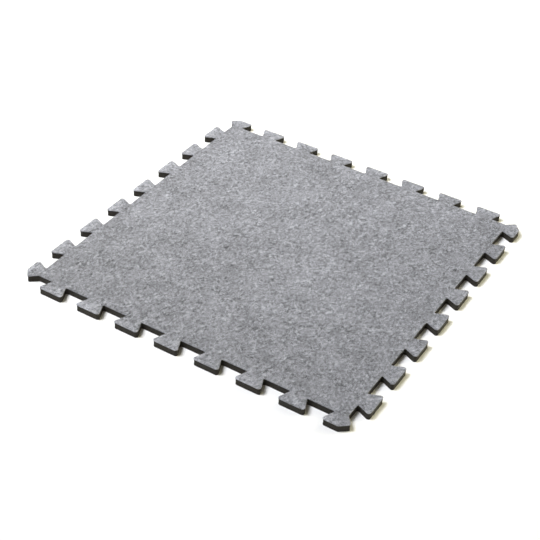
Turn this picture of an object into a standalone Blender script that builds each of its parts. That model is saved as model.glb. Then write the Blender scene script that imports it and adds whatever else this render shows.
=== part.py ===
"""A square interlocking mat tile for pinning out knitting: felt bonded to a foam base.

The three layers are cut through together by one die, so they share one outline. Each edge has eight
dovetail teeth and eight notches, and each edge is the one before it turned a quarter turn. The notches
take the teeth of the next tile, and four tiles meet at a corner as a pinwheel with no hole in it.

Metres, +Z up. The origin is at the middle of the underside, which lies on the floor.
"""

import math

import bpy
from mathutils import Matrix, Vector

# Plan
PITCH = 0.0762  # from one tooth to the next
TEETH = 8  # along each edge, the corner's own tooth included
EDGES = 4
TOOTH_DEPTH = 0.0245  # from a notch's floor to a tooth's outer face
FLARE = 0.011  # a tooth's head is this much wider than half a pitch, and its neck as much narrower
HEAD_RADIUS = 0.004  # at the outer corners, on the teeth's heads
NECK_RADIUS = 0.002  # at the inner corners, in the notches; smaller, so that the heads' corners clear them
TIP_RADIUS = 0.003  # at the tile's own four corners
PINWHEEL_ANGLE = math.radians(40)  # between a corner's short side and the edge that follows it
ARC_STEP = math.radians(30)  # the most that one straight piece of a rounded corner turns

# Layers, from the floor up
FOAM_THICKNESS = 0.0110
FILM_THICKNESS = 0.0002
FELT_THICKNESS = 0.0009
LAYER_GAP = 0.0003

# What follows from them
HALF_SIDE = PITCH * TEETH / 2  # of the square that one tile covers
OUTER_LINE = HALF_SIDE + TOOTH_DEPTH / 2  # where the teeth end
FLOOR_LINE = HALF_SIDE - TOOTH_DEPTH / 2  # where the notches end
HEAD_WIDTH = PITCH / 2 + FLARE
NECK_WIDTH = PITCH / 2 - FLARE
FIRST_TOOTH = -HALF_SIDE + 0.75 * PITCH  # a quarter pitch off centre, so that teeth face notches

COLLECTION = "blocking_mat"


def clear_scene():
    """Leave nothing from an earlier run."""
    for old in list(bpy.data.objects):
        bpy.data.objects.remove(old)


def material(name, colour, roughness):
    """A plain, non-metallic surface."""
    made = bpy.data.materials.new(name)
    made.use_nodes = True
    shader = made.node_tree.nodes["Principled BSDF"]
    shader.inputs["Base Color"].default_value = (*colour, 1.0)
    shader.inputs["Roughness"].default_value = roughness
    shader.inputs["Metallic"].default_value = 0.0
    return made


def whole_tooth(centre):
    """The four corners of one dovetail tooth on the -Y edge, left to right."""
    return [
        (centre - NECK_WIDTH / 2, -FLOOR_LINE, NECK_RADIUS),
        (centre - HEAD_WIDTH / 2, -OUTER_LINE, HEAD_RADIUS),
        (centre + HEAD_WIDTH / 2, -OUTER_LINE, HEAD_RADIUS),
        (centre + NECK_WIDTH / 2, -FLOOR_LINE, NECK_RADIUS),
    ]


def corner_tooth(centre):
    """The tooth at the right-hand end of the -Y edge, where four tiles meet.

    Its two short sides meet at a right angle on the corner of the square that the tile covers. Turned a
    quarter turn about that corner, one becomes the other, so the four tiles there fill it.
    """
    across = TOOTH_DEPTH / 2
    along = across / math.tan(PINWHEEL_ANGLE)
    return [
        (centre - NECK_WIDTH / 2, -FLOOR_LINE, NECK_RADIUS),
        (centre - HEAD_WIDTH / 2, -OUTER_LINE, HEAD_RADIUS),
        (HALF_SIDE - along, -OUTER_LINE, HEAD_RADIUS),
        (HALF_SIDE, -HALF_SIDE, TIP_RADIUS),
        (FLOOR_LINE, -HALF_SIDE + along, NECK_RADIUS),
    ]


def outline_corners():
    """Every sharp corner of the tile's outline with its radius, anticlockwise from above."""
    edge = []
    for tooth in range(TEETH - 1):
        edge += whole_tooth(FIRST_TOOTH + tooth * PITCH)
    edge += corner_tooth(FIRST_TOOTH + (TEETH - 1) * PITCH)
    corners = []
    for quarter in range(EDGES):
        turn = Matrix.Rotation(quarter * math.pi / 2, 2)
        corners += [(turn @ Vector((x, y)), radius) for x, y, radius in edge]
    return corners


def rounded(corners):
    """The outline's points, with each corner swapped for an arc that both of its sides run into."""
    points = []
    for index, (corner, radius) in enumerate(corners):
        back = (corners[index - 1][0] - corner).normalized()
        ahead = (corners[(index + 1) % len(corners)][0] - corner).normalized()
        between = back.angle(ahead)
        turn = math.pi - between
        middle = corner + (back + ahead).normalized() * radius / math.sin(between / 2)
        start = corner + back * radius / math.tan(between / 2) - middle
        way = math.copysign(1, back.cross(ahead)) * -1
        steps = max(2, math.ceil(turn / ARC_STEP))
        for step in range(steps + 1):
            points.append(middle + Matrix.Rotation(way * turn * step / steps, 2) @ start)
    return points


def layer(name, points, bottom, thickness, look, collection):
    """One sheet of the laminate: the outline filled and given its thickness."""
    curve = bpy.data.curves.new(name, "CURVE")
    curve.dimensions = "2D"
    curve.fill_mode = "BOTH"
    curve.extrude = thickness / 2
    spline = curve.splines.new("POLY")
    spline.points.add(len(points) - 1)
    for place, point in zip(spline.points, points):
        place.co = (point.x, point.y, 0.0, 1.0)
    spline.use_cyclic_u = True
    curve.materials.append(look)
    sheet = bpy.data.objects.new(name, curve)
    sheet.location.z = bottom + thickness / 2
    collection.objects.link(sheet)
    return sheet


def build():
    """The whole tile, lying on the floor."""
    clear_scene()
    collection = bpy.data.collections.new(COLLECTION)
    bpy.context.scene.collection.children.link(collection)
    points = rounded(outline_corners())

    foam_look = material("black_foam", (0.022, 0.021, 0.020), 0.75)
    film_look = material("clear_film", (0.55, 0.56, 0.58), 0.35)
    felt_look = material("grey_felt", (0.34, 0.35, 0.37), 0.95)

    film_bottom = FOAM_THICKNESS + LAYER_GAP
    felt_bottom = film_bottom + FILM_THICKNESS + LAYER_GAP
    layer("foam_base", points, 0.0, FOAM_THICKNESS, foam_look, collection)
    layer("bond_film", points, film_bottom, FILM_THICKNESS, film_look, collection)
    layer("felt_face", points, felt_bottom, FELT_THICKNESS, felt_look, collection)


build()
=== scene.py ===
"""How the interlocking mat tile looks: needle-punched grey felt on a black foam base, cut out by one die.

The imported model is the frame. Its outline is read from the foam's node, and the foam, the bond film and
the felt are built on it with their cut edges, their relief and their fibres. Metres, +Z up.
"""

import math
import random

import bmesh
import bpy
import numpy as np
from mathutils import Matrix, Vector, kdtree, noise
from mathutils.geometry import delaunay_2d_cdt


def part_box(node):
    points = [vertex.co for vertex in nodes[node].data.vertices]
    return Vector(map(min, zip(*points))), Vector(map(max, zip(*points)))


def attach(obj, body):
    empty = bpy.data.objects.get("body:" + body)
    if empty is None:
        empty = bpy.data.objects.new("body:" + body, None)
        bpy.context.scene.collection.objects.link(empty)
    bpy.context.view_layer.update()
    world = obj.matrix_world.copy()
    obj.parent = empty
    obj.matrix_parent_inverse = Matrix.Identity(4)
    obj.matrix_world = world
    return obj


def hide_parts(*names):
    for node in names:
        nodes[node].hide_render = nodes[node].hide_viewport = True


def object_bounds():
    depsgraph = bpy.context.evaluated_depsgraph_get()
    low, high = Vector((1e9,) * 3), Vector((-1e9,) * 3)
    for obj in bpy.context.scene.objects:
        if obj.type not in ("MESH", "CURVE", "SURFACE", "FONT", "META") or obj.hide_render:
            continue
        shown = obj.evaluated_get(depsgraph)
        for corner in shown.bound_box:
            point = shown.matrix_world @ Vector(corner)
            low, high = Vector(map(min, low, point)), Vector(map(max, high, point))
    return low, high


MM = 0.001

# Seeds of the random draws
EDGE_SEED = 11
GRID_SEED = 23
FIBRE_SEED = 37

# Camera, on a 36 mm sensor. The tile's middle is the point it turns about.
CAMERA_AZIMUTH = math.radians(29.564)
CAMERA_ELEVATION = math.radians(37.0)
CAMERA_ROLL = math.radians(2.936)
CAMERA_YAW = math.radians(-0.499)
CAMERA_PITCH = math.radians(-0.745)
CAMERA_DISTANCE = 2.0994
CAMERA_LENS = 81.19
CAMERA_SENSOR = 36.0

# Outline
ARC_CHORD = 3 * MM  # a side of the CAD outline shorter than this is part of a rounded corner
OUTLINE_STEP = 1.0 * MM
WELD = 0.001 * MM  # points closer than this are one point
FACES_UP = 0.9  # a face whose normal has a larger Z than this belongs to the top

# The layers' CAD solids are 0.3 mm apart. The visible ones reach each other, so that no gap shows.
LAYER_REACH = 0.28 * MM  # the foam upwards and the felt downwards
FILM_SWELL = 0.03 * MM  # the film, both ways


# ---------------------------------------------------------------- frame

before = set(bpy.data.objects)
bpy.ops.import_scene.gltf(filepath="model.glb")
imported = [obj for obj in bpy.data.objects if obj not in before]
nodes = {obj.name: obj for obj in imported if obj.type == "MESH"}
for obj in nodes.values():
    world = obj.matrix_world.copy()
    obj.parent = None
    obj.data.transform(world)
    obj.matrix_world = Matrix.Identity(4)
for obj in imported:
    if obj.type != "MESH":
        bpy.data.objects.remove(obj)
cad_low, cad_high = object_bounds()

foam_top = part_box("foam_base")[1].z + LAYER_REACH
film_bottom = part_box("bond_film")[0].z - FILM_SWELL
film_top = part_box("bond_film")[1].z + FILM_SWELL
felt_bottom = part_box("felt_face")[0].z - LAYER_REACH
felt_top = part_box("felt_face")[1].z


# ---------------------------------------------------------------- camera


def place_camera():
    """The camera looks down on the tile from its front right, a little off its middle and rolled."""
    away = Vector(
        (
            math.sin(CAMERA_AZIMUTH) * math.cos(CAMERA_ELEVATION),
            -math.cos(CAMERA_AZIMUTH) * math.cos(CAMERA_ELEVATION),
            math.sin(CAMERA_ELEVATION),
        )
    )
    up = Vector((0, 0, 1))
    right = up.cross(away).normalized()
    over = away.cross(right)
    aim = (-away + math.tan(CAMERA_YAW) * right + math.tan(CAMERA_PITCH) * over).normalized()
    right = up.cross(-aim).normalized()
    over = (-aim).cross(right)
    side = math.cos(CAMERA_ROLL) * right + math.sin(CAMERA_ROLL) * over
    top = -math.sin(CAMERA_ROLL) * right + math.cos(CAMERA_ROLL) * over
    data = bpy.data.cameras.new("camera")
    data.sensor_width = CAMERA_SENSOR
    data.lens = CAMERA_LENS
    data.clip_start = 0.02
    data.clip_end = 200
    camera = bpy.data.objects.new("camera", data)
    turn = Matrix((side, top, -aim)).transposed().to_4x4()
    camera.matrix_world = Matrix.Translation(away * CAMERA_DISTANCE) @ turn
    bpy.context.scene.collection.objects.link(camera)
    bpy.context.scene.camera = camera


# ---------------------------------------------------------------- outline


def cad_outline(node):
    """The corners of a CAD sheet's outline in plan, anticlockwise."""
    mesh = bmesh.new()
    mesh.from_mesh(nodes[node].data)
    bmesh.ops.remove_doubles(mesh, verts=mesh.verts, dist=WELD)
    ahead = {}
    for face in mesh.faces:
        if face.normal.z > FACES_UP:
            for loop in face.loops:
                if any(other.face.normal.z < FACES_UP for other in loop.edge.link_loops):
                    ahead[loop.vert] = loop.link_loop_next.vert
    start = here = next(iter(ahead))
    corners = []
    while True:
        corners.append(Vector(here.co.xy))
        here = ahead[here]
        if here == start:
            break
    mesh.free()
    return corners


def smooth_outline(corners, step):
    """Points a step apart round the outline, with its short chords bent back into arcs, and their normals."""
    count = len(corners)
    sides = [corners[(i + 1) % count] - corners[i] for i in range(count)]
    curved = [side.length < ARC_CHORD for side in sides]
    points, tangents = [], []
    for i, side in enumerate(sides):
        before, after = sides[i - 1], sides[(i + 1) % count]
        pieces = max(2 if curved[i] else 1, round(side.length / step))
        leave = arrive = side.normalized()
        if curved[i]:
            leave = (before + side).normalized() if curved[i - 1] else before.normalized()
            arrive = (side + after).normalized() if curved[(i + 1) % count] else after.normalized()
        pull = side.length
        for k in range(pieces):
            t = k / pieces
            points.append(
                corners[i] * (2 * t**3 - 3 * t**2 + 1)
                + leave * pull * (t**3 - 2 * t**2 + t)
                + corners[(i + 1) % count] * (3 * t**2 - 2 * t**3)
                + arrive * pull * (t**3 - t**2)
            )
            tangents.append(
                (
                    (corners[(i + 1) % count] - corners[i]) * (6 * t - 6 * t**2)
                    + leave * pull * (3 * t**2 - 4 * t + 1)
                    + arrive * pull * (3 * t**2 - 2 * t)
                ).normalized()
            )
    points = np.array(points)
    tangents = np.array(tangents)
    normals = np.column_stack([tangents[:, 1], -tangents[:, 0]])
    return points, normals


class Cut:
    """The outline in plan, which can say how far inside it a place is."""

    def __init__(self, points, normals):
        self.points = points
        self.normals = normals
        self.tree = kdtree.KDTree(len(points))
        for index, (x, y) in enumerate(points):
            self.tree.insert((x, y, 0), index)
        self.tree.balance()

    def depth(self, x, y):
        """The distance in from the outline, less than 0 outside it."""
        _, index, distance = self.tree.find((x, y, 0))
        (px, py), (nx, ny) = self.points[index], self.normals[index]
        return distance if (x - px) * nx + (y - py) * ny < 0 else -distance


def inside_points(cut, spacing, margin, jitter, seed):
    """A shaken triangular grid over the outline's inside, at least margin in from it: x, y and depth."""
    draw = random.Random(seed)
    low, high = cut.points.min(0), cut.points.max(0)
    row_step = spacing * math.sqrt(3) / 2
    kept = []
    for row in range(int((high[1] - low[1]) / row_step) + 1):
        y0 = low[1] + row * row_step
        for column in range(int((high[0] - low[0]) / spacing) + 1):
            x = low[0] + (column + 0.5 * (row % 2)) * spacing + draw.uniform(-jitter, jitter) * spacing
            y = y0 + draw.uniform(-jitter, jitter) * spacing
            depth = cut.depth(x, y)
            if depth > margin:
                kept.append((x, y, depth))
    return kept


INSIDE_ONLY = 1  # the triangulation keeps the triangles inside the loop
MERGE_WITHIN = 1e-7  # metres


def filled(loop, inner):
    """Triangles that fill a closed loop through points inside it. The loop's points are numbered first."""
    flat = [Vector(p) for p in loop] + [Vector(p) for p in inner]
    ring = [(i, (i + 1) % len(loop)) for i in range(len(loop))]
    _, _, faces, origin, _, _ = delaunay_2d_cdt(flat, ring, [], INSIDE_ONLY, MERGE_WITHIN)
    where = [own[0] if own else None for own in origin]
    return [tuple(where[v] for v in face) for face in faces if all(where[v] is not None for v in face)]


class Shell:
    """A closed mesh that is put together from rings round the outline and from caps."""

    def __init__(self):
        self.points = []
        self.faces = []

    def ring(self, points):
        """Adds a closed ring of points and gives the number of its first one."""
        first = len(self.points)
        self.points += [tuple(p) for p in points]
        return first

    def wall(self, low, high, count):
        """Joins two rings, the lower one first, so that the faces look outwards."""
        for i in range(count):
            j = (i + 1) % count
            self.faces.append((low + i, low + j, high + j, high + i))

    def cap(self, ring, count, inner, triangles, up):
        """Closes a ring with triangles through inner points."""
        first = len(self.points)
        self.points += [tuple(p) for p in inner]
        for face in triangles:
            numbers = [ring + v if v < count else first + v - count for v in face]
            self.faces.append(tuple(numbers if up else reversed(numbers)))

    def build(self, name):
        """The finished mesh as an object in the scene."""
        mesh = bpy.data.meshes.new(name)
        mesh.from_pydata(self.points, [], self.faces)
        mesh.validate()
        mesh.polygons.foreach_set("use_smooth", [True] * len(mesh.polygons))
        mesh.update()
        piece = bpy.data.objects.new(name, mesh)
        bpy.context.scene.collection.objects.link(piece)
        return piece


def fractal(x, y, wave, octaves=3, z=0.0):
    """Smooth noise from about -1 to 1 with its largest waves that long."""
    total, size = 0.0, 1.0
    for _ in range(octaves):
        total += size * noise.noise(Vector((x / wave, y / wave, z)))
        wave, size, z = wave / 2, size / 2, z + 7.3
    return total


# ---------------------------------------------------------------- foam

FOAM_SIDE = (  # height, and how far out from the die's line
    (0.00 * MM, -0.32 * MM),
    (0.18 * MM, -0.12 * MM),
    (0.60 * MM, -0.04 * MM),
    (2.60 * MM, -0.24 * MM),
    (5.60 * MM, -0.40 * MM),
    (8.60 * MM, -0.24 * MM),
    (10.70 * MM, 0.00 * MM),
    (11.15 * MM, -0.03 * MM),
    (foam_top, -0.12 * MM),
)
FOAM_WAVER = 0.06 * MM  # how far the cut wanders
FOAM_WAVE = 9 * MM
FOAM_DRIFT = 0.31  # from one ring's noise to the next one's
GROOVE_PITCH = 10.0 * MM  # between the embossed grooves of the underside
GROOVE_DEPTH = 0.45 * MM
GROOVE_HALF_WIDTH = 1.0 * MM
GROOVE_EDGE = 1.6 * MM  # the rim that the grooves leave flat
GROOVE_MARGIN = 3.5 * MM  # they run out over this width inside it


def rim_points(cut, height, out, waver, wave, seed):
    """The outline as a ring at one height, pushed out along its normals by a wavering distance."""
    ring = []
    for (x, y), (nx, ny) in zip(cut.points, cut.normals):
        shift = out + waver * fractal(x, y, wave, 3, seed)
        ring.append((x + nx * shift, y + ny * shift, height))
    return ring


def groove_points(cut):
    """Points of the underside: three across each groove, where they meet the other family's three."""
    reach = math.ceil(math.hypot(cad_high[0], cad_high[1]) / GROOVE_PITCH)
    lines = []
    for k in range(-reach, reach + 1):
        lines += [
            (k * GROOVE_PITCH - GROOVE_HALF_WIDTH, 0.0),
            (k * GROOVE_PITCH, 1.0),
            (k * GROOVE_PITCH + GROOVE_HALF_WIDTH, 0.0),
        ]
    kept = []
    for u, deep_u in lines:
        for v, deep_v in lines:
            x, y = (u - v) / math.sqrt(2), (u + v) / math.sqrt(2)
            if abs(x) > cad_high[0] or abs(y) > cad_high[1]:
                continue
            room = cut.depth(x, y) - GROOVE_EDGE
            if room > 0:
                kept.append((x, y, GROOVE_DEPTH * max(deep_u, deep_v) * min(1.0, room / GROOVE_MARGIN)))
    return kept


def make_foam(cut):
    """The foam slab: slightly hollow die-cut sides, and an underside embossed with crossed grooves."""
    shell, count = Shell(), len(cut.points)
    rings = []
    for level, (height, out) in enumerate(FOAM_SIDE):
        rings.append(shell.ring(rim_points(cut, height, out, FOAM_WAVER, FOAM_WAVE, FOAM_DRIFT * level)))
    for low, high in zip(rings, rings[1:]):
        shell.wall(low, high, count)
    top = np.array(shell.points[rings[-1] : rings[-1] + count])[:, :2]
    shell.cap(rings[-1], count, [], filled(top, []), up=True)
    bottom = np.array(shell.points[rings[0] : rings[0] + count])[:, :2]
    grooves = groove_points(cut)
    shell.cap(rings[0], count, grooves, filled(bottom, [g[:2] for g in grooves]), up=False)
    return shell.build("foam_slab")


# ---------------------------------------------------------------- bond film

FILM_SIDE = (  # height, and how far out from the die's line
    (film_bottom, -0.10 * MM),
    ((film_bottom + film_top) / 2, 0.02 * MM),
    (film_top, -0.08 * MM),
)
FILM_WAVER = 0.08 * MM
FILM_WAVE = 3 * MM
FILM_SEED = 5.0


def make_film(cut):
    """The hot-melt film between the foam and the felt, squeezed out unevenly at the cut."""
    shell, count = Shell(), len(cut.points)
    rings = []
    for level, (height, out) in enumerate(FILM_SIDE):
        rings.append(shell.ring(rim_points(cut, height, out, FILM_WAVER, FILM_WAVE, FILM_SEED + level)))
    for low, high in zip(rings, rings[1:]):
        shell.wall(low, high, count)
    for ring, up in ((rings[0], False), (rings[-1], True)):
        flat = np.array(shell.points[ring : ring + count])[:, :2]
        shell.cap(ring, count, [], filled(flat, []), up=up)
    return shell.build("bond_layer")


# ---------------------------------------------------------------- felt

FELT_SIDE = (  # height, and how far out from the die's line
    (felt_bottom, -0.20 * MM),
    (felt_bottom + 0.20 * MM, 0.04 * MM),
    (felt_bottom + 0.50 * MM, 0.14 * MM),
    (felt_bottom + 0.74 * MM, 0.06 * MM),
    (felt_bottom + 0.88 * MM, -0.16 * MM),
    (felt_bottom + 0.94 * MM, -0.50 * MM),
    (felt_bottom + 0.97 * MM, -1.10 * MM),
)
RELIEF_RING = 3  # above this ring the side takes part in the relief of the top
FELT_RAGGED = 0.13 * MM  # how unevenly the fibres end at the cut
FELT_RIM_RAGGED = 0.05 * MM  # the same on the last two rings, which lie on the top
FELT_RAGGED_WAVE = 4 * MM
FELT_GRID = 3.0 * MM  # between the top's points
FELT_SHAKE = 0.22  # they are moved about by this share of it
FELT_MARGIN = 2.4 * MM  # they keep this far from the cut
FELT_RELIEF = 0.10 * MM  # about half the height of its lumps
LUMP_WAVE = 14 * MM
SWAY_WAVE = 90 * MM
ROLL_WIDTH = 9.0 * MM  # the felt falls off towards the cut over this width
ROLL_DROP = 0.30 * MM
TOOTH_DEPTH = 24.5 * MM  # from a notch's floor to a tooth's outer face
DIMPLE = (-287.0 * MM, -274.0 * MM)  # the middle of a small round dent near one corner
DIMPLE_RADIUS = 5.5 * MM
DIMPLE_DEPTH = 0.30 * MM
DIMPLE_DARKENING = 0.5  # the felt is darker in it by this share
PAINTED_LIGHT_LEAN = (0.60, 0.24)  # painted light: the felt is painted lighter towards the left and front, where the key light stands, and darker towards the right and back, by this share of the mean


def roll_off(distance):
    """How far the felt has fallen at that distance from the cut."""
    return ROLL_DROP * max(0.0, 1.0 - distance / ROLL_WIDTH) ** 2


def felt_height(x, y, distance):
    """The felt's top: nearly flat, with soft lumps where the fibres bunch, and rolled off at the cut."""
    lumps = fractal(x, y, LUMP_WAVE, 3, 1.7)
    sway = fractal(x, y, SWAY_WAVE, 1, 4.2)
    away = math.hypot(x - DIMPLE[0], y - DIMPLE[1]) / DIMPLE_RADIUS
    dent = DIMPLE_DEPTH * math.exp(-(away**4))
    return felt_top + FELT_RELIEF * (0.9 * lumps + 0.5 * sway) - dent - roll_off(distance)


def lightness_and_painted_light(x, y):
    """How much lighter the felt is: 0 on the field, about 1 at the teeth's heads, under 0 in the dimple,
    where it is darker.

    Part of it is painted light: it is larger on the left and front teeth, which face the key light, than on
    the right and back ones.
    """
    out = (max(abs(x), abs(y)) - cad_high[0] + TOOTH_DEPTH) / TOOTH_DEPTH
    away = math.hypot(x - DIMPLE[0], y - DIMPLE[1]) / DIMPLE_RADIUS
    # painted light: lighter on the key light's side, the left and front
    painted_lean = 1.0 - (PAINTED_LIGHT_LEAN[0] * x + PAINTED_LIGHT_LEAN[1] * y) / cad_high[0]
    return min(1.0, max(0.0, out)) * painted_lean - DIMPLE_DARKENING * math.exp(-(away**4))


def make_felt(cut):
    """The felt sheet: a top with soft lumps that rolls over into a ragged cut edge."""
    shell, count = Shell(), len(cut.points)
    rings = []
    relief_low = FELT_SIDE[RELIEF_RING][0]
    draw = random.Random(EDGE_SEED)
    for level, (height, out) in enumerate(FELT_SIDE):
        ring = []
        ragged = FELT_RAGGED if level < len(FELT_SIDE) - 2 else FELT_RIM_RAGGED
        top_share = max(0.0, (height - relief_low) / (FELT_SIDE[-1][0] - relief_low))
        for (x, y), (nx, ny) in zip(cut.points, cut.normals):
            uneven = fractal(x, y, FELT_RAGGED_WAVE, 2, 9.0 + 0.2 * level) + draw.uniform(-0.5, 0.5)
            shift = out + ragged * uneven
            px, py = x + nx * shift, y + ny * shift
            flat_height = felt_top - roll_off(-out)
            ring.append((px, py, height + top_share * (felt_height(px, py, -out) - flat_height)))
        rings.append(shell.ring(ring))
    for low, high in zip(rings, rings[1:]):
        shell.wall(low, high, count)
    bottom = np.array(shell.points[rings[0] : rings[0] + count])[:, :2]
    shell.cap(rings[0], count, [], filled(bottom, []), up=False)
    top = np.array(shell.points[rings[-1] : rings[-1] + count])[:, :2]
    inner = inside_points(cut, FELT_GRID, FELT_MARGIN, FELT_SHAKE, GRID_SEED)
    lifted = [(x, y, felt_height(x, y, depth)) for x, y, depth in inner]
    shell.cap(rings[-1], count, lifted, filled(top, [p[:2] for p in inner]), up=True)
    felt = shell.build("felt_sheet")
    # the felt's per-point lightness: lighter heads, a darker dimple, and painted light on the key light's
    # side
    stands = felt.data.attributes.new("lightness_and_painted_light", "FLOAT", "POINT")
    stands.data.foreach_set("value", [lightness_and_painted_light(x, y) for x, y, _ in shell.points])
    return felt


# ---------------------------------------------------------------- loose fibres

FIBRE_SIDES = 3
FIBRE_TAPER = 0.45  # how thick its ends are, against its middle
FIBRE_SIDEWAYS = Vector((0.31, 0.17, 0.93))  # a direction that no fibre follows
EDGE_FIBRES_EACH = 1.25  # per point of the outline
EDGE_STEPS = (0.0, 0.35, 0.7, 1.0)  # the points of a fibre at the cut, as shares of its length
TOP_FIBRES = 2600
TOP_STEPS = 5  # straight pieces in a fibre on the top
TOP_MARGIN = 1.5 * MM  # such a fibre keeps this far from the cut


def add_fibre(shell, path, radius):
    """A thin closed tube along a path, narrower at its ends."""
    rings = []
    for k, place in enumerate(path):
        along = (path[min(k + 1, len(path) - 1)] - path[max(k - 1, 0)]).normalized()
        side = along.cross(FIBRE_SIDEWAYS).normalized()
        over = along.cross(side)
        size = radius * (FIBRE_TAPER if k in (0, len(path) - 1) else 1.0)
        ring = []
        for corner in range(FIBRE_SIDES):
            turn = 2 * math.pi * corner / FIBRE_SIDES
            ring.append(place + size * (math.cos(turn) * side + math.sin(turn) * over))
        rings.append(shell.ring(ring))
    for low, high in zip(rings, rings[1:]):
        shell.wall(low, high, FIBRE_SIDES)
    end = [tuple(range(FIBRE_SIDES))]
    shell.cap(rings[0], FIBRE_SIDES, [], end, up=False)
    shell.cap(rings[-1], FIBRE_SIDES, [], end, up=True)


def add_edge_fibres(shell, cut, draw):
    """Short fibres that stick out of the cut edge."""
    count = len(cut.points)
    for _ in range(int(EDGE_FIBRES_EACH * count)):
        index = draw.randrange(count)
        (x, y), (nx, ny) = cut.points[index], cut.normals[index]
        depth = draw.uniform(0.1, 0.9) * MM
        root = Vector((x - nx * depth, y - ny * depth, felt_bottom + draw.uniform(0.48, 0.90) * MM))
        sway, rise = draw.gauss(0, 0.9), draw.uniform(-0.15, 0.75)
        aim = Vector((nx - ny * sway, ny + nx * sway, rise)).normalized()
        bend = Vector((-ny * draw.gauss(0, 0.5), nx * draw.gauss(0, 0.5), draw.uniform(-0.9, 0.1)))
        length = depth + draw.uniform(0.6, 2.3) * MM
        path = [root + length * (t * aim + 0.45 * t * t * bend) for t in EDGE_STEPS]
        add_fibre(shell, path, draw.uniform(0.035, 0.075) * MM)


def add_top_fibres(shell, cut, draw):
    """Longer curled fibres that lie on the top, their middles a little clear of it."""
    made = 0
    reach_x, reach_y = cad_high[0], cad_high[1]
    while made < TOP_FIBRES:
        x, y = draw.uniform(-reach_x, reach_x), draw.uniform(-reach_y, reach_y)
        heading, turn = draw.uniform(0, math.tau), draw.gauss(0, 0.5)
        step = draw.uniform(4.0, 11.0) * MM / TOP_STEPS
        path = []
        for _ in range(TOP_STEPS + 1):
            path.append((x, y))
            x, y = x + step * math.cos(heading), y + step * math.sin(heading)
            heading += turn
        depths = [cut.depth(*place) for place in path]
        if min(depths) < TOP_MARGIN:
            continue
        lying = []
        for k, ((px, py), depth) in enumerate(zip(path, depths)):
            clear = (-0.06 + 0.16 * math.sin(math.pi * k / TOP_STEPS)) * MM
            lying.append(Vector((px, py, felt_height(px, py, depth) + clear)))
        add_fibre(shell, lying, draw.uniform(0.035, 0.07) * MM)
        made += 1


def make_fibres(cut):
    """The felt's loose fibres, as one piece."""
    shell = Shell()
    draw = random.Random(FIBRE_SEED)
    add_edge_fibres(shell, cut, draw)
    add_top_fibres(shell, cut, draw)
    return shell.build("felt_fibres")


# ---------------------------------------------------------------- materials


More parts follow.
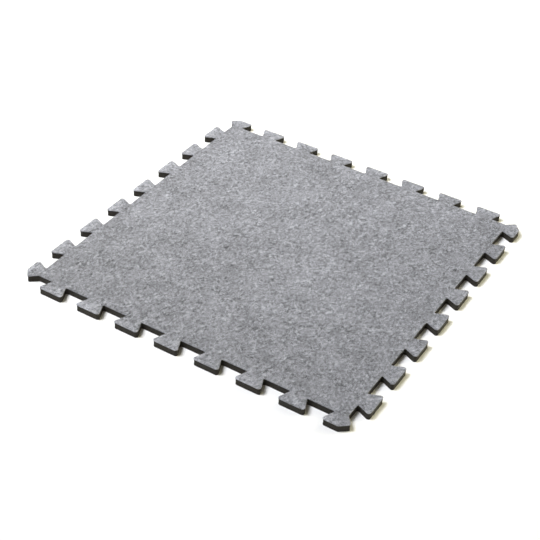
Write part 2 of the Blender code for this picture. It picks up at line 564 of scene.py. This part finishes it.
class Look:
    """A material's node tree, built node by node."""

    def __init__(self, name):
        self.material = bpy.data.materials.new(name)
        self.material.use_nodes = True
        self.tree = self.material.node_tree
        self.shader = self.tree.nodes["Principled BSDF"]
        self.place = self.node("ShaderNodeTexCoord").outputs["Object"]

    def node(self, kind, settings=None, **inputs):
        """A node with its settings. An input is a number, a tuple or another node's output."""
        made = self.tree.nodes.new(kind)
        for key, value in (settings or {}).items():
            setattr(made, key, value)
        for key, value in inputs.items():
            self.feed(made.inputs[key.replace("_", " ")], value)
        return made

    def feed(self, socket, value):
        """Links a socket to another node's output, or sets it."""
        if isinstance(value, bpy.types.NodeSocket):
            self.tree.links.new(value, socket)
        else:
            socket.default_value = value

    def math(self, operation, first, second=0.0, third=0.0):
        made = self.node("ShaderNodeMath", {"operation": operation})
        for socket, value in zip(made.inputs, (first, second, third)):
            self.feed(socket, value)
        return made.outputs[0]

    def noise(self, vector, scale, detail=2.0, roughness=0.5):
        made = self.node(
            "ShaderNodeTexNoise", Vector=vector, Scale=scale, Detail=detail, Roughness=roughness
        )
        return made.outputs["Fac"]

    def warped(self, vector, scale, amount):
        """The place, moved about by soft noise up to about that far."""
        soft = self.node("ShaderNodeTexNoise", Vector=vector, Scale=scale, Detail=2.0)
        shake = self.node("ShaderNodeVectorMath", {"operation": "SUBTRACT"})
        self.feed(shake.inputs[0], soft.outputs["Color"])
        self.feed(shake.inputs[1], (0.5, 0.5, 0.5))
        moved = self.node("ShaderNodeVectorMath", {"operation": "MULTIPLY_ADD"})
        self.feed(moved.inputs[0], shake.outputs[0])
        self.feed(moved.inputs[1], (amount, amount, amount))
        self.feed(moved.inputs[2], vector)
        return moved.outputs[0]

    def stretched(self, vector, angle, length, width, height=None, shift=0.0):
        """The place in a frame turned about Z, where one unit is length along X and width across."""
        made = self.node("ShaderNodeMapping", {"vector_type": "TEXTURE"}, Vector=vector)
        made.inputs["Location"].default_value = (shift, shift * 0.7, shift * 0.3)
        made.inputs["Rotation"].default_value = (0.0, 0.0, angle)
        made.inputs["Scale"].default_value = (length, width, height or width)
        return made.outputs[0]

    def spread(self, value, low, high, to_low=0.0, to_high=1.0):
        """The value's range from low to high, laid onto another range and clamped to it."""
        made = self.node(
            "ShaderNodeMapRange",
            {"clamp": True},
            Value=value,
            From_Min=low,
            From_Max=high,
            To_Min=to_low,
            To_Max=to_high,
        )
        return made.outputs[0]

    def streaks(self, vector, angles, length, width, detail, roughness, seed):
        """Crossing streaks about 0, each direction strong in some patches and faint in others."""
        total = 0.0
        for index, angle in enumerate(angles):
            local = self.stretched(vector, angle, length, width, shift=seed + 0.13 * index)
            line = self.math("SUBTRACT", self.noise(local, 1.0, detail, roughness), 0.5)
            aside = seed + 0.31 + 0.17 * index
            where = self.stretched(vector, angle, PATCH_LENGTH, PATCH_WIDTH, shift=aside)
            patch = self.spread(self.noise(where, 1.0, 1.0), 0.40, 0.62, PATCH_FAINT, PATCH_STRONG)
            total = self.math("MULTIPLY_ADD", line, patch, total)
        return total

    def ramp(self, value, stops):
        """A colour for each value, from (value, colour) stops."""
        made = self.node("ShaderNodeValToRGB", Fac=value)
        band = made.color_ramp
        while len(band.elements) < len(stops):
            band.elements.new(1.0)
        for element, (at, colour) in zip(band.elements, stops):
            element.position = at
            element.color = (*colour, 1.0)
        return made.outputs["Color"]

    def bump(self, height, strength, distance, under=None):
        """Fine relief, on top of another one if that is given."""
        made = self.node("ShaderNodeBump", Strength=strength, Distance=distance, Height=height)
        if under is not None:
            self.feed(made.inputs["Normal"], under)
        return made.outputs["Normal"]

    def finish(self, **inputs):
        """Feeds the surface shader's inputs and gives the material."""
        for key, value in inputs.items():
            self.feed(self.shader.inputs[key.replace("_", " ")], value)
        return self.material


FELT_COLOUR = (0.2465, 0.2496, 0.2712)
STRAND_ANGLES = (0.15, 0.95, 1.40, 1.80, 2.50)  # most are nearer Y than X, the way the web was laid
TUFT_ANGLES = (0.60, 1.25, 1.70, 2.40)
FIBRE_TURN = 0.33  # from a strand's direction to a single fibre's
PATCH_LENGTH = 26 * MM  # of a patch in which the strands run one way
PATCH_WIDTH = 13 * MM
PATCH_FAINT, PATCH_STRONG = 0.25, 1.75
CLOUD_GAIN, STRAND_GAIN, TUFT_GAIN, FIBRE_GAIN = 1.6, 1.32, 0.74, 1.0
FIBRE_MIDDLE = 0.66  # what the fibres' pattern is on average
LIGHT_GAIN = 0.18  # light fibres stand out that much more than dark ones
LIGHTNESS_AND_PAINTED_LIGHT_GAIN = 0.262  # the felt is that much lighter where the per-point value is 1; part of that value is painted light from the key light's side


def felt_material():
    """Heathered needle-punched felt: cloudy patches, tufts, crossing strands and single light fibres."""
    look = Look("felt_heather")
    place = look.place
    curved = look.warped(place, 70, 4.5 * MM)

    cloud = look.noise(place, 18, 8.0, 0.86)
    strands = look.streaks(curved, STRAND_ANGLES, 5.5 * MM, 1.4 * MM, 3.0, 0.75, 0.0)
    tufts = look.streaks(curved, TUFT_ANGLES, 9.2 * MM, 4.4 * MM, 1.0, 0.5, 0.4)

    fibres = None
    for index, angle in enumerate(STRAND_ANGLES):
        local = look.stretched(curved, angle + FIBRE_TURN, 7.0 * MM, 0.28 * MM, shift=0.21 * index + 0.05)
        layer = look.noise(local, 1.0, 1.0, 0.5)
        fibres = layer if fibres is None else look.math("MAXIMUM", fibres, layer)

    shade = look.math("MULTIPLY", look.math("SUBTRACT", cloud, 0.5), CLOUD_GAIN)
    shade = look.math("MULTIPLY_ADD", strands, STRAND_GAIN, shade)
    shade = look.math("MULTIPLY_ADD", tufts, TUFT_GAIN, shade)
    shade = look.math("MULTIPLY_ADD", look.math("SUBTRACT", fibres, FIBRE_MIDDLE), FIBRE_GAIN, shade)
    tone = look.math("MULTIPLY_ADD", shade, look.math("MULTIPLY_ADD", shade, LIGHT_GAIN, 1.0), 1.0)
    # painted light: the per-point lightness is larger on the key light's side of the tile
    lightness_with_painted_light = look.node("ShaderNodeAttribute", {"attribute_name": "lightness_and_painted_light"}).outputs["Fac"]
    tone = look.math("MULTIPLY", tone, look.math("MULTIPLY_ADD", lightness_with_painted_light, LIGHTNESS_AND_PAINTED_LIGHT_GAIN, 1.0))

    colour = look.node("ShaderNodeVectorMath", {"operation": "SCALE"}, Scale=tone)
    look.feed(colour.inputs[0], FELT_COLOUR)

    soft = look.bump(strands, 0.5, 0.06 * MM)
    fine = look.bump(fibres, 0.5, 0.12 * MM, soft)
    return look.finish(
        Base_Color=colour.outputs[0],
        Roughness=look.spread(fibres, 0.5, 0.8, 1.0, 0.86),
        Diffuse_Roughness=0.8,
        Specular_IOR_Level=0.25,
        Sheen_Weight=0.15,
        Sheen_Roughness=0.5,
        Normal=fine,
    )


def fibre_material():
    """Single polyester fibres, from dark grey to nearly white."""
    look = Look("felt_fibre")
    shade = look.noise(look.place, 160, 2.0, 0.6)
    colour = look.ramp(
        shade, ((0.36, (0.10, 0.10, 0.108)), (0.50, (0.30, 0.305, 0.32)), (0.64, (0.58, 0.585, 0.60)))
    )
    twist = look.noise(look.place, 1800, 1.0, 0.5)
    return look.finish(
        Base_Color=colour,
        Roughness=look.spread(twist, 0.3, 0.7, 0.45, 0.65),
        Specular_IOR_Level=0.4,
        Sheen_Weight=0.1,
        Normal=look.bump(twist, 0.3, 0.02 * MM),
    )


FOAM_COLOUR = (0.0252, 0.0221, 0.0172)


def foam_material():
    """Black closed-cell foam: fine cells opened by the cut, and faint drag lines down its sides."""
    look = Look("foam_black")
    place = look.place
    cells = look.node("ShaderNodeTexVoronoi", Vector=place, Scale=1500.0).outputs["Distance"]
    drag = look.noise(look.stretched(place, 0.0, 0.7 * MM, 0.7 * MM, 22 * MM), 1.0, 3.0, 0.6)
    cloud = look.noise(place, 45, 5.0, 0.6)
    tone = look.math("MULTIPLY_ADD", look.math("SUBTRACT", cloud, 0.5), 0.8, 1.0)
    tone = look.math("MULTIPLY_ADD", look.math("SUBTRACT", drag, 0.5), 0.6, tone)
    tone = look.math("MULTIPLY_ADD", look.math("SUBTRACT", cells, 0.4), 0.5, tone)
    colour = look.node("ShaderNodeVectorMath", {"operation": "SCALE"}, Scale=tone)
    look.feed(colour.inputs[0], FOAM_COLOUR)
    lines = look.bump(drag, 0.35, 0.25 * MM)
    pits = look.bump(cells, 0.5, 0.18 * MM, lines)
    return look.finish(
        Base_Color=colour.outputs[0],
        Roughness=look.spread(cloud, 0.3, 0.7, 0.62, 0.82),
        Specular_IOR_Level=0.22,
        Normal=pits,
    )


def film_material():
    """Hot-melt film: milky grey with a web of thin and thick places."""
    look = Look("film_milky")
    web = look.noise(look.place, 900, 3.0, 0.6)
    colour = look.ramp(web, ((0.3, (0.24, 0.245, 0.255)), (0.7, (0.42, 0.43, 0.45))))
    return look.finish(
        Base_Color=colour,
        Roughness=look.spread(web, 0.3, 0.7, 0.30, 0.50),
        Normal=look.bump(web, 0.4, 0.1 * MM),
    )


# ---------------------------------------------------------------- stage

FLOOR_COLOUR = (0.94, 0.93, 0.895)  # round the tile
FAR_COLOUR = (0.94, 0.94, 0.95)  # cooler where the near lamp doesn't reach, so that it stays white there too
NEAR_REACH = 0.6  # the first colour up to here
FAR_REACH = 1.6  # the second one from here
FLOOR_HEIGHT = -0.1 * MM  # just clear of the foam
FLOOR_REACH = 25.0
SUN_COLOUR = (0.92, 0.97, 1.10)
SUN_STRENGTH = 2.25
SUN_SPREAD = math.radians(32)
SUN_ELEVATION = math.radians(59.5)
SUN_BEARING = math.radians(212)  # where it stands, from +X towards +Y
SPOT_POWER = 200.0
SPOT_RADIUS = 0.60
SPOT_CONE = math.radians(55)
SPOT_DISTANCE = 2.2
SPOT_AIM = (-0.33, 0.27, 0.0)  # so the felt is brightest towards its back left corner
SKY_COLOUR = (0.17, 0.157, 0.125)
FILL_COLOUR = (8.3, 7.9, 5.6)  # a low soft light from the back right
FILL_BEARING = math.radians(60)
FILL_ELEVATION = math.radians(10)
FILL_INNER = math.radians(12)  # it fades from here
FILL_OUTER = math.radians(35)  # to here
DOME_RADIUS = 20.0


def toward(bearing, elevation):
    """The direction at that bearing, from +X towards +Y, and elevation."""
    flat = math.cos(elevation)
    return Vector((math.cos(bearing) * flat, math.sin(bearing) * flat, math.sin(elevation)))


def make_backdrop():
    """A white dome that only the camera sees, so that it doesn't light the tile."""
    mesh = bmesh.new()
    bmesh.ops.create_uvsphere(mesh, u_segments=48, v_segments=24, radius=DOME_RADIUS)
    data = bpy.data.meshes.new("backdrop")
    mesh.to_mesh(data)
    mesh.free()
    dome = bpy.data.objects.new("backdrop", data)
    bpy.context.scene.collection.objects.link(dome)
    look = Look("backdrop_white")
    data.materials.append(
        look.finish(
            Base_Color=(0.0, 0.0, 0.0, 1.0),
            Emission_Color=(1.0, 1.0, 1.0, 1.0),
            Emission_Strength=1.0,
            Specular_IOR_Level=0.0,
        )
    )
    dome.visible_diffuse = False
    dome.visible_glossy = False
    dome.visible_transmission = False
    dome.visible_shadow = False


def make_floor():
    """A pale floor."""
    data = bpy.data.meshes.new("floor")
    square = ((-1, -1), (1, -1), (1, 1), (-1, 1))
    corners = [(x * FLOOR_REACH, y * FLOOR_REACH, FLOOR_HEIGHT) for x, y in square]
    data.from_pydata(corners, [], [(0, 1, 2, 3)])
    floor = bpy.data.objects.new("floor", data)
    bpy.context.scene.collection.objects.link(floor)
    look = Look("floor_paper")
    reach_out = look.node("ShaderNodeVectorMath", {"operation": "LENGTH"})
    look.feed(reach_out.inputs[0], look.place)
    how_far = look.spread(reach_out.outputs["Value"], NEAR_REACH, FAR_REACH)
    paper = look.ramp(how_far, ((0.0, FLOOR_COLOUR), (1.0, FAR_COLOUR)))
    data.materials.append(look.finish(Base_Color=paper, Roughness=0.9, Specular_IOR_Level=0.1))


def make_lights():
    """A soft key light with a spot beside it, a low fill opposite them and a dim warm sky."""
    stands = toward(SUN_BEARING, SUN_ELEVATION)
    sun = bpy.data.lights.new("key", "SUN")
    sun.energy = SUN_STRENGTH
    sun.color = SUN_COLOUR
    sun.angle = SUN_SPREAD
    holder = bpy.data.objects.new("key", sun)
    holder.rotation_euler = stands.to_track_quat("Z", "Y").to_euler()
    bpy.context.scene.collection.objects.link(holder)

    spot = bpy.data.lights.new("near_key", "SPOT")
    spot.energy = SPOT_POWER
    spot.shadow_soft_size = SPOT_RADIUS
    spot.spot_size = SPOT_CONE
    spot.spot_blend = 1.0
    lamp = bpy.data.objects.new("near_key", spot)
    lamp.location = stands * SPOT_DISTANCE
    lamp.rotation_euler = (lamp.location - Vector(SPOT_AIM)).to_track_quat("Z", "Y").to_euler()
    bpy.context.scene.collection.objects.link(lamp)

    world = bpy.data.worlds.new("studio")
    world.use_nodes = True
    bpy.context.scene.world = world
    tree = world.node_tree
    way = tree.nodes.new("ShaderNodeTexCoord")
    facing = tree.nodes.new("ShaderNodeVectorMath")
    facing.operation = "DOT_PRODUCT"
    tree.links.new(way.outputs["Generated"], facing.inputs[0])
    facing.inputs[1].default_value = toward(FILL_BEARING, FILL_ELEVATION)
    band = tree.nodes.new("ShaderNodeValToRGB")
    tree.links.new(facing.outputs["Value"], band.inputs["Fac"])
    band.color_ramp.interpolation = "EASE"
    around, middle = band.color_ramp.elements
    around.position, around.color = math.cos(FILL_OUTER), (*SKY_COLOUR, 1.0)
    middle.position, middle.color = math.cos(FILL_INNER), (*FILL_COLOUR, 1.0)
    tree.links.new(band.outputs["Color"], tree.nodes["Background"].inputs["Color"])
    bpy.context.scene.view_settings.view_transform = "Standard"


# ---------------------------------------------------------------- the tile


def make_tile():
    """The four visible pieces, and what each of them stands for in the CAD."""
    cut = Cut(*smooth_outline(cad_outline("foam_base"), OUTLINE_STEP))

    foam = make_foam(cut)
    foam.data.materials.append(foam_material())
    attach(foam, "root")
    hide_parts("foam_base")

    film = make_film(cut)
    film.data.materials.append(film_material())
    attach(film, "root")
    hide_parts("bond_film")

    fibres = make_fibres(cut)
    fibres.data.materials.append(fibre_material())
    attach(fibres, "root")

    felt = make_felt(cut)
    felt.data.materials.append(felt_material())
    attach(felt, "root")
    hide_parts("felt_face")


place_camera()
make_floor()
make_backdrop()
make_lights()
make_tile()
